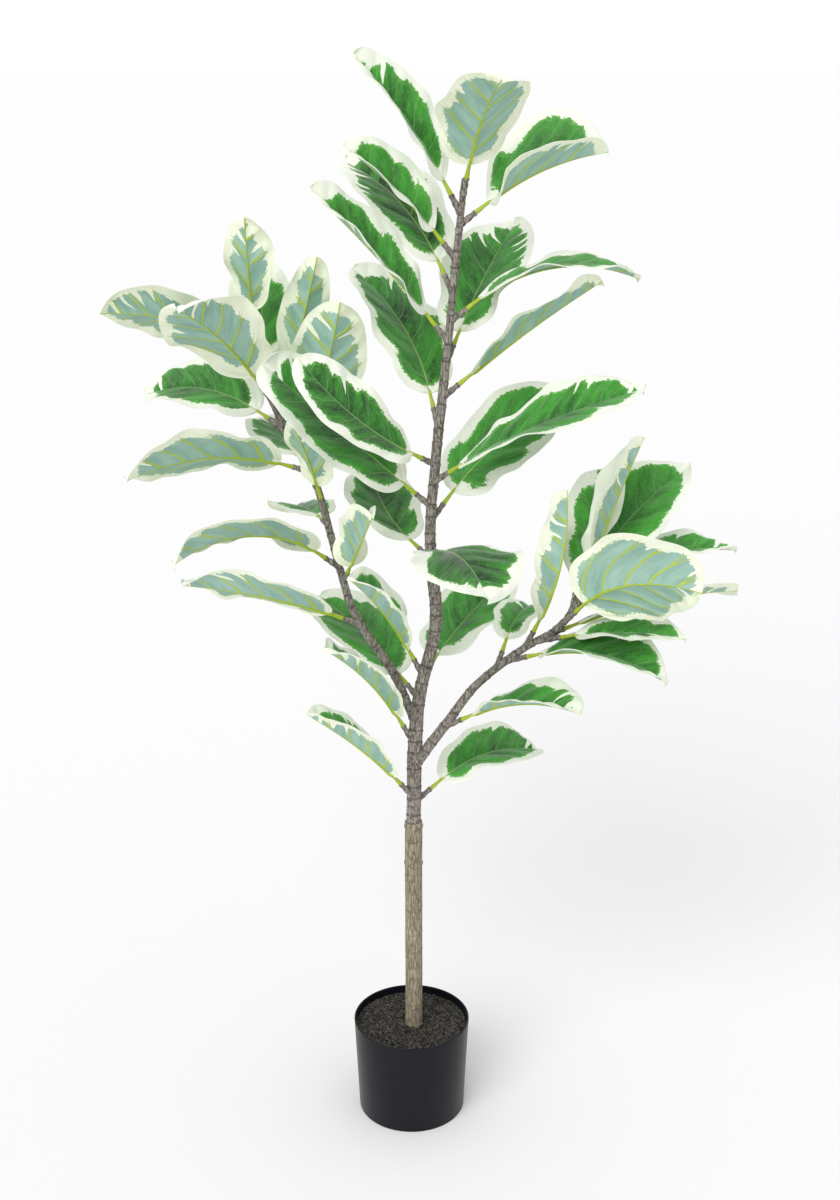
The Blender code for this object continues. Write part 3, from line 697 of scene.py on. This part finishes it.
def soil_surface(look, rng):
    """The filling: a disc of rings whose height is a sum of sine lumps, with a straight side.

    The bore for the trunk goes right down, so the filling is a closed ring, and its last row of
    faces goes back to the first row of points.
    """
    low, high = SOIL_BOX
    outer = (high[0] - low[0]) / 2
    inner = bpy.context.scene.fig.stems.trunk_radius + CLEARANCE
    foot = outer - (high[2] - low[2]) * SOIL_DRAFT
    radius = np.concatenate([[inner], np.linspace(inner, outer, SOIL_RINGS), [foot]])
    height = np.concatenate([[low[2]], np.full(SOIL_RINGS, high[2]), [low[2]]])
    points = turned(np.stack([radius, height], axis=1), SOIL_SIDES)
    points[..., 0] += TRUNK_X * np.interp(radius, [inner, outer], [1.0, 0.0])[:, None]
    top = slice(1, SOIL_RINGS + 1)
    x, y = points[top, :, 0], points[top, :, 1]
    lumps = np.zeros_like(x)
    for wavelength in (0.040, 0.019, 0.011, 0.006, 0.0035):
        angle, phase = rng.uniform(0, 2 * np.pi, 2)
        turn = rng.uniform(0, 2 * np.pi)
        wave = 2 * np.pi / wavelength
        lumps += np.sin(wave * (x * np.cos(angle) + y * np.sin(angle)) + phase) \
            * np.sin(wave * (x * np.sin(angle) - y * np.cos(angle)) + turn)
    points[top, :, 2] -= look.roughness_height * (0.5 + 0.18 * lumps)
    return points, quads(len(points) + 1, SOIL_SIDES, True) % (len(points) * SOIL_SIDES)


def crumb_surface(look, rng):
    """Loose grains: a rough eight-cornered ball copied to many places on the filling."""
    low, high = SOIL_BOX
    ball = np.array([(x, y, z) for z in (-0.6, 0.6) for x, y in
                     ((-0.8, -0.7), (0.8, -0.8), (0.7, 0.8), (-0.8, 0.8))])
    faces = np.array([(3, 2, 1, 0), (4, 5, 6, 7), (0, 1, 5, 4), (1, 2, 6, 5), (2, 3, 7, 6),
                      (3, 0, 4, 7)])
    count = look.crumbs
    reach = (high[0] - low[0]) / 2 - 0.002
    trunk = bpy.context.scene.fig.stems.trunk_radius + 0.002
    distance = np.sqrt(rng.uniform((trunk + TRUNK_X) ** 2, reach ** 2, count))
    angle = rng.uniform(0, 2 * np.pi, count)
    # Grains of about 0.5 to 2 mm, some drawn out to twice that.
    size = rng.uniform(0.0003, 0.0011, count)
    jitter = rng.uniform(0.7, 1.3, (count, 8, 3))
    points = ball[None] * jitter * size[:, None, None]
    points[..., 0] *= rng.uniform(0.7, 2.2, count)[:, None]
    spin = rng.uniform(0, 2 * np.pi, count)[:, None]
    x = points[..., 0] * np.cos(spin) - points[..., 1] * np.sin(spin)
    y = points[..., 0] * np.sin(spin) + points[..., 1] * np.cos(spin)
    points[..., 0] = x + (distance * np.cos(angle))[:, None]
    points[..., 1] = y + (distance * np.sin(angle))[:, None]
    points[..., 2] += high[2] - 0.0006
    all_faces = (np.arange(count) * 8)[:, None, None] + faces[None]
    return points, all_faces.reshape(-1, 4)


def trunk_surface(look, rng):
    """The trunk: a turned rod with a blind socket, two collars, a faint sway and shallow rings.

    The radius at a height is the rod's, plus a bell at each collar, less a narrow bell at each
    ring, and the surface is dented a little by slow waves round the trunk.
    """
    foot, top = TRUNK_BOX[0][2], TRUNK_TOP
    height = np.linspace(top, foot, 420)
    radius = np.full_like(height, look.trunk_radius)
    for drop in COLLAR_DROPS:
        radius += COLLAR_HEIGHT * np.exp(-((top - drop - height) / COLLAR_WIDTH) ** 2)
    ring, crack = growth_rings(top - height, look.ring_spacing * 1.8, rng)
    radius += look.ring_height * (0.4 * ring - 0.5 * crack)
    plug = PLUG_RADIUS + CLEARANCE
    socket = top - PLUG_LENGTH - CLEARANCE
    lead = [(AXIS, socket), (plug, socket), (plug, top), (radius[0] - 0.0006, top)]
    profile = np.vstack([lead, np.stack([radius, height - 0.0003], axis=1), [(AXIS, foot)]])
    points = turned(profile, TRUNK_SIDES, (TRUNK_X, 0.0))
    angle = around(TRUNK_SIDES)
    dent = 0.00022 * np.sin(3 * angle + 40 * height[:, None]) \
        * np.sin(2 * angle - 23 * height[:, None])
    side = slice(len(lead), len(lead) + len(height))
    points[side, :, 0] += dent * np.cos(angle)
    points[side, :, 1] -= dent * np.sin(angle)
    # The crack attribute marks where the bark paints shade into each ring's crack.
    cracks = np.concatenate([np.zeros(len(lead)), 0.6 * crack, [0.0]])
    return points, capped_tube_faces(len(points), TRUNK_SIDES), np.repeat(cracks, TRUNK_SIDES)


# ---- stems and twigs
def direction(bearing, rise):
    """Unit vectors of bearings and rises in degrees, with the three parts last."""
    turn, lift = np.radians(bearing), np.radians(rise)
    return np.stack([np.cos(lift) * np.cos(turn), np.cos(lift) * np.sin(turn),
                     np.sin(lift) * np.ones_like(turn)], axis=-1)


COARSE_ROUTES = {key: smooth_route(route, 0.022) for key, route in ROUTES.items()}


def twig_line(leaf):
    """Where a leaf's twig starts on the stem's centreline, its way, and its length to its end."""
    route = COARSE_ROUTES[leaf.stem]
    height = TRUNK_TOP + leaf.height
    start = np.array([np.interp(height, route[:, 2], line) for line in route.T])
    way = direction(float(leaf.bearing), float(leaf.rise))
    row = min(int(np.searchsorted(route[:, 2], height)), len(route) - 1)
    stem_way = route[row] - route[row - 1]
    stem_way /= np.linalg.norm(stem_way)
    slant = max(0.35, float(np.linalg.norm(np.cross(way, stem_way))))
    first, last = RADII[leaf.stem]
    radius = first + (last - first) * row / (len(route) - 1)
    return start, way, radius / slant + bpy.context.scene.fig.leaves.twig_length


def growth_rings(travelled, spacing, rng):
    """Two profiles along a stem: raised rings, and the narrow crack just past each of them."""
    ring, crack = np.zeros_like(travelled), np.zeros_like(travelled)
    place = rng.uniform(0.25, 0.6) * spacing
    while place < travelled.max():
        ring += np.exp(-((travelled - place) / 0.0018) ** 2)
        crack += np.exp(-((travelled - place - 0.0026) / 0.0008) ** 2)
        place += spacing * rng.uniform(0.55, 1.45)
    return ring, crack


def stem_surface(key, look, rng):
    """A stem: a tube along the smoothed route, tapering, with a raised ring and a crack at each
    growth step, and a surface that waves a little round its girth."""
    path = smooth_route(ROUTES[key], 0.0012)
    if key == "main":
        path[0, 2] += CLEARANCE
    travelled = np.concatenate([[0.0], np.cumsum(np.linalg.norm(np.diff(path, axis=0), axis=1))])
    first, last = RADII[key]
    radius = first + (last - first) * np.arange(len(path)) / (len(path) - 1)
    ring, crack = growth_rings(travelled, look.ring_spacing, rng)
    radius = radius + look.ring_height * (ring - 0.9 * crack)
    angle = around(STEM_SIDES)
    phase = rng.uniform(0, 2 * np.pi, 3)
    girth = 0.035 * np.sin(2 * angle + 30 * travelled[:, None] + phase[0]) \
        + 0.025 * np.sin(3 * angle - 75 * travelled[:, None] + phase[1]) \
        + 0.018 * np.sin(5 * angle + 190 * travelled[:, None] + phase[2])
    points = tube(path, radius[:, None] * (0.985 + girth), STEM_SIDES)
    faces = capped_tube_faces(len(points), STEM_SIDES)
    # The crack profile goes back as well, to tell the bark where to paint shade.
    return (points, faces, 0, None), np.repeat(crack, STEM_SIDES)


def twig_surface(leaf):
    """A twig: a short tapering tube with a swollen foot and a slightly flared end."""
    start, way, reach = twig_line(leaf)
    t = np.linspace(0.0, 1.0, 22)
    radius = 0.0042 - 0.0012 * t + 0.0004 * np.exp(-((t - 0.93) / 0.05) ** 2) \
        + 0.0003 * np.sin(14 * t)
    path = start + way * (reach * t)[:, None]
    points = tube(path, radius, TWIG_SIDES)
    return points, capped_tube_faces(len(points), TWIG_SIDES)


# ---- leaves
def half_width(share, width):
    """Half the blade's width: a rounded base, a slight waist and a broad outer half."""
    body = np.clip(share, 0.0, 1.0) ** 0.50 * np.clip(1.0 - share, 0.0, 1.0) ** 0.50
    waist = 1.0 - 0.16 * np.exp(-((share - 0.28) / 0.13) ** 2)
    return BLADE_FULLNESS * width * body * waist


def midrib(leaf, look):
    """A function of the distance along a leaf that gives its place and its three directions.

    The bearing and the rise keep their start along the petiole and change evenly along the blade,
    the place is the running sum of the way along, and the roll comes in along the petiole.
    """
    start, way, reach = twig_line(leaf)
    total = look.petiole_length + leaf.length
    fine = np.linspace(0.0, total, 400)

    def ways(distance):
        share = np.clip((distance - look.petiole_length) / leaf.length, 0.0, 1.0)
        bearing = leaf.bearing + leaf.turn * share
        along = direction(bearing, leaf.rise + leaf.bend * share)
        across = direction(bearing + 90.0, 0.0 * share)
        up = np.cross(along, across)
        roll = np.radians(leaf.roll) * np.clip(distance / look.petiole_length, 0.0, 1.0)
        cosine, sine = np.cos(roll)[:, None], np.sin(roll)[:, None]
        return along, across * cosine + up * sine, up * cosine - across * sine

    steps = ways((fine[1:] + fine[:-1]) / 2)[0] * (fine[1] - fine[0])
    places = np.vstack([np.zeros(3), np.cumsum(steps, axis=0)]) + start + way * (reach + CLEARANCE)

    def at(distance):
        place = np.stack([np.interp(distance, fine, places[:, axis]) for axis in range(3)], axis=1)
        return (place, *ways(distance))

    return at


def blade_surface(leaf, look, rng):
    """The blade as one closed shell: each row is a ring, across the upper face and back below.

    The cloth's height over the flat blade is the fold, plus a slow wave and two shorter ones that
    grow towards the margin, plus a puff between two side veins, less a groove at the midrib. Its
    room is each point's distance to the flat outline.
    """
    rows, columns = BLADE_ROWS, BLADE_COLUMNS
    share = 0.5 - 0.5 * np.cos(np.linspace(0.06, np.pi - 0.02, rows))
    share = share[:, None]
    u = np.linspace(-1.0, 1.0, columns)
    u = (np.sign(u) * np.abs(u) ** 1.15)[None, :]
    phases = rng.uniform(0, 1, 3)
    side = np.where(u < 0, phases[0], phases[1])
    half = np.maximum(half_width(share, leaf.width), 0.0012)
    half = half * (1.0 + 0.025 * np.sin(2 * np.pi * (3 * share + side)) * (1 - share))
    across_reach = half * u
    along_reach = share * leaf.length * np.ones_like(u)
    fold = np.radians(leaf.fold) * np.minimum(1.0, 4 * share)
    wave = np.sin(2 * np.pi * (1.5 * share + 0.25 * u))
    lift = np.abs(across_reach) * np.sin(fold) + 0.06 * leaf.width * wave * u * u * share
    ripple = np.sin(2 * np.pi * (along_reach / 0.075 + side)) \
        + 0.5 * np.sin(2 * np.pi * (along_reach / 0.041 + 2.3 * side + phases[2]))
    lift = lift + look.ripple * ripple * np.abs(u) ** 2.0 * np.minimum(1.0, 5 * share)
    lane = along_reach - LANE_SLOPE * np.abs(across_reach) - LANE_CURVE * across_reach ** 2
    lane = lane + np.sign(across_reach) * look.vein_spacing * LANE_STEP + LANE_WANDER / 2
    puff = np.abs(np.sin(np.pi * lane / look.vein_spacing))
    inside = np.clip(4 * np.abs(u) * (1.0 - np.abs(u)), 0.0, 1.0)
    lift = lift + look.quilting * puff * inside
    lift = lift - 0.0008 * np.exp(-(across_reach / 0.0025) ** 2)

    place, _, across, up = midrib(leaf, look)(look.petiole_length + along_reach[:, 0])
    middle = place[:, None] + across[:, None] * (across_reach * np.cos(fold))[..., None] \
        + up[:, None] * lift[..., None]
    normal = np.cross(np.gradient(middle, axis=0), np.gradient(middle, axis=1))
    normal /= np.linalg.norm(normal, axis=2, keepdims=True)
    thick = look.blade_thickness * (0.5 - 0.25 * np.abs(u) ** 2) * np.ones_like(share)
    upper = middle + normal * thick[..., None]
    under = middle - normal * thick[..., None]
    ring = np.concatenate([upper, under[:, ::-1]], axis=1)
    faces = capped_tube_faces(rows, 2 * columns)
    slot = np.zeros(len(faces), dtype=int)
    column = np.arange((rows - 1) * 2 * columns) % (2 * columns)
    slot[:len(column)] = np.where((column >= columns) & (column < 2 * columns - 1), 1, 0)
    flat = np.stack([across_reach, along_reach], axis=2)
    rim = np.concatenate([flat[:, 0], flat[:, -1], flat[-1], flat[0]])
    room = np.sqrt(((flat[:, :, None] - rim) ** 2).sum(axis=3)).min(axis=2)
    sheets = [np.concatenate([values, values[:, ::-1]], axis=1)
              for values in (room, share * np.ones_like(u))]
    uv = np.concatenate([flat, flat[:, ::-1]], axis=1)
    return (ring, faces[:, ::-1], slot, uv), dict(zip(("room", "share"), sheets))


def petiole_surface(leaf, look):
    """The petiole: a round wire with a swollen socket end, which runs on below the blade as its
    midrib and tapers out near the tip."""
    distance = np.linspace(0.0, look.petiole_length + 0.93 * leaf.length, 90)
    share = np.clip((distance - look.petiole_length) / leaf.length, 0.0, 1.0)
    radius = 0.0020 + 0.0007 * np.exp(-(distance / 0.009) ** 4) - 0.0016 * share ** 0.6
    place, _, across, up = midrib(leaf, look)(distance)
    path = place - up * (np.minimum(1.0, 30 * share) * (radius * 0.75 + 0.0005))[:, None]
    angle = around(PETIOLE_SIDES)
    ring = np.cos(angle)[None, :, None] * across[:, None] + np.sin(angle)[None, :, None] * up[:, None]
    points = path[:, None] + radius[:, None, None] * ring
    return points, capped_tube_faces(len(points), PETIOLE_SIDES), 2, None


# ---- operators
class FIG_OT_pot(bpy.types.Operator):
    """Build the nursery pot"""
    bl_idname = "fig.pot"
    bl_label = "Pot"

    def execute(self, context):
        look = context.scene.fig.pot
        points, faces = pot_surface(look)
        pot = mesh_object("pot_shell", [(points, faces, 0, None)], [nursery_plastic(look)])
        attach(pot, "root")
        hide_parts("pot")
        return {"FINISHED"}


class FIG_OT_soil(bpy.types.Operator):
    """Build the filling with its loose grains"""
    bl_idname = "fig.soil"
    bl_label = "Filling"

    def execute(self, context):
        look = context.scene.fig.soil
        rng = np.random.default_rng(11)
        mix = granular_soil(look)
        filling = mesh_object("filling", [(*soil_surface(look, rng), 0, None)], [mix])
        crumbs = mesh_object("filling_crumbs", [(*crumb_surface(look, rng), 0, None)], [mix])
        for piece in (filling, crumbs):
            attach(piece, "root")
        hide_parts("soil")
        return {"FINISHED"}


class FIG_OT_trunk(bpy.types.Operator):
    """Build the bare trunk with its collars"""
    bl_idname = "fig.trunk"
    bl_label = "Trunk"

    def execute(self, context):
        look = context.scene.fig.stems
        points, faces, cracks = trunk_surface(look, np.random.default_rng(5))
        trunk = mesh_object("trunk_sleeve", [(points, faces, 0, None)], [sleeve_bark(look)])
        # The crack attribute tells the bark where to paint shade.
        number_attribute(trunk, "crack", cracks)
        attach(trunk, "root")
        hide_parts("trunk")
        return {"FINISHED"}


class FIG_OT_stems(bpy.types.Operator):
    """Build the three grey stems with their twigs"""
    bl_idname = "fig.stems"
    bl_label = "Stems"

    def execute(self, context):
        look = context.scene.fig.stems
        bark = moulded_bark(look)
        for number, (key, node) in enumerate(STEM_NODES.items()):
            rng = np.random.default_rng(20 + number)
            tapered, crack = stem_surface(key, look, rng)
            twigs = [(*twig_surface(leaf), 0, None) for leaf in LEAVES if leaf.stem == key]
            stem = mesh_object(node + "_bark", [tapered, *twigs], [bark])
            plain = np.zeros(len(stem.data.vertices) - len(crack))
            # The crack attribute tells the bark where to paint shade; the twigs get none.
            number_attribute(stem, "crack", np.concatenate([crack, plain]))
            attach(stem, "root")
            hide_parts(node)
        return {"FINISHED"}


class FIG_OT_leaves(bpy.types.Operator):
    """Build every leaf: a cloth blade with its petiole"""
    bl_idname = "fig.leaves"
    bl_label = "Leaves"

    def execute(self, context):
        look = context.scene.fig.leaves
        materials = [leaf_upper(look), leaf_under(look), petiole_plastic(look)]
        for number, leaf in enumerate(LEAVES):
            rng = np.random.default_rng(100 + number)
            blade, fields = blade_surface(leaf, look, rng)
            petiole = petiole_surface(leaf, look)
            piece = mesh_object(leaf.name + "_blade", [blade, petiole], materials)
            rest = petiole[0].shape[0] * petiole[0].shape[1]
            for name, values in fields.items():
                number_attribute(piece, name, np.concatenate([values.ravel(), np.zeros(rest)]))
            number_attribute(piece, "seed", np.full(len(piece.data.vertices), 0.73 * number))
            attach(piece, "root")
            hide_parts(leaf.name)
        return {"FINISHED"}


class FIG_OT_stage(bpy.types.Operator):
    """Set the pale floor, the soft lights and the camera"""
    bl_idname = "fig.stage"
    bl_label = "Stage"

    def execute(self, context):
        make_floor()
        make_lights(context.scene)
        make_camera(context.scene)
        return {"FINISHED"}


# ---- stage
def make_floor():
    """A matte white floor, swept up in a quarter circle into a low wall 60 m behind the tree."""
    reach, back, bend, top = 150.0, 60.0, 3.0, 9.0
    turn = np.linspace(0.0, np.pi / 2, 9)
    away = np.concatenate([[-reach], back + bend * np.sin(turn), [back + bend]])
    height = np.concatenate([[0.0], bend - bend * np.cos(turn), [top]])
    points = np.zeros((len(away), 2, 3))
    points[:, 0, 0], points[:, 1, 0] = -reach, reach
    points[..., 1], points[..., 2] = away[:, None], height[:, None]
    material, _, shader = principled("matte_studio_floor", 0.9, 1.45, 0.0)
    shader.inputs["Base Color"].default_value = (*linear("F6F6F6"), 1.0)
    floor = mesh_object("floor", [(points, quads(len(away), 2, False), 0, None)], [material])


def make_lights(scene):
    """White surroundings, and one broad soft light from the upper left, in front of the tree."""
    world = scene.world or bpy.data.worlds.new("studio")
    scene.world = world
    world.use_nodes = True
    back = world.node_tree.nodes["Background"]
    back.inputs[0].default_value = (1.0, 1.0, 1.0, 1.0)
    back.inputs[1].default_value = 0.66
    for name, strength, softness, tilt, turn in (("key", 1.45, 40.0, 52.0, -28.0),
                                                 ("top", 0.35, 80.0, 8.0, 40.0)):
        lamp = bpy.data.lights.new(name, "SUN")
        lamp.energy = strength
        lamp.angle = math.radians(softness)
        obj = bpy.data.objects.new(name, lamp)
        obj.rotation_euler = (math.radians(tilt), 0.0, math.radians(turn))
        scene.collection.objects.link(obj)


def make_camera(scene):
    """The camera stands in front, a little above the crown, and looks down on the tree."""
    scene.view_settings.view_transform = "Standard"
    data = bpy.data.cameras.new("camera")
    data.sensor_width = 36.0
    data.lens = 50.0
    data.clip_end = 400.0
    obj = bpy.data.objects.new("camera", data)
    obj.location = CAMERA_PLACE
    obj.rotation_euler = (math.radians(90.0 - CAMERA_TILT), 0.0, 0.0)
    scene.collection.objects.link(obj)
    scene.camera = obj


class FIG_PT_panel(bpy.types.Panel):
    """The tree's operators, in the order in which they run"""
    bl_idname = "FIG_PT_panel"
    bl_label = "Fiddle Leaf Fig"
    bl_space_type = "VIEW_3D"
    bl_region_type = "UI"
    bl_category = "Fig"

    def draw(self, context):
        for operator in OPERATORS:
            self.layout.operator(operator.bl_idname)


OPERATORS = (FIG_OT_pot, FIG_OT_soil, FIG_OT_trunk, FIG_OT_stems, FIG_OT_leaves, FIG_OT_stage)
CLASSES = (FIG_PG_pot, FIG_PG_soil, FIG_PG_stems, FIG_PG_leaves, FIG_PG_settings,
           *OPERATORS, FIG_PT_panel)


def register():
    for cls in CLASSES:
        bpy.utils.register_class(cls)
    bpy.types.Scene.fig = PointerProperty(type=FIG_PG_settings)


def unregister():
    del bpy.types.Scene.fig
    for cls in reversed(CLASSES):
        bpy.utils.unregister_class(cls)


def main():
    register()
    bpy.ops.fig.pot()
    bpy.ops.fig.soil()
    bpy.ops.fig.trunk()
    bpy.ops.fig.stems()
    bpy.ops.fig.leaves()
    bpy.ops.fig.stage()


if __name__ == "__main__":
    main()
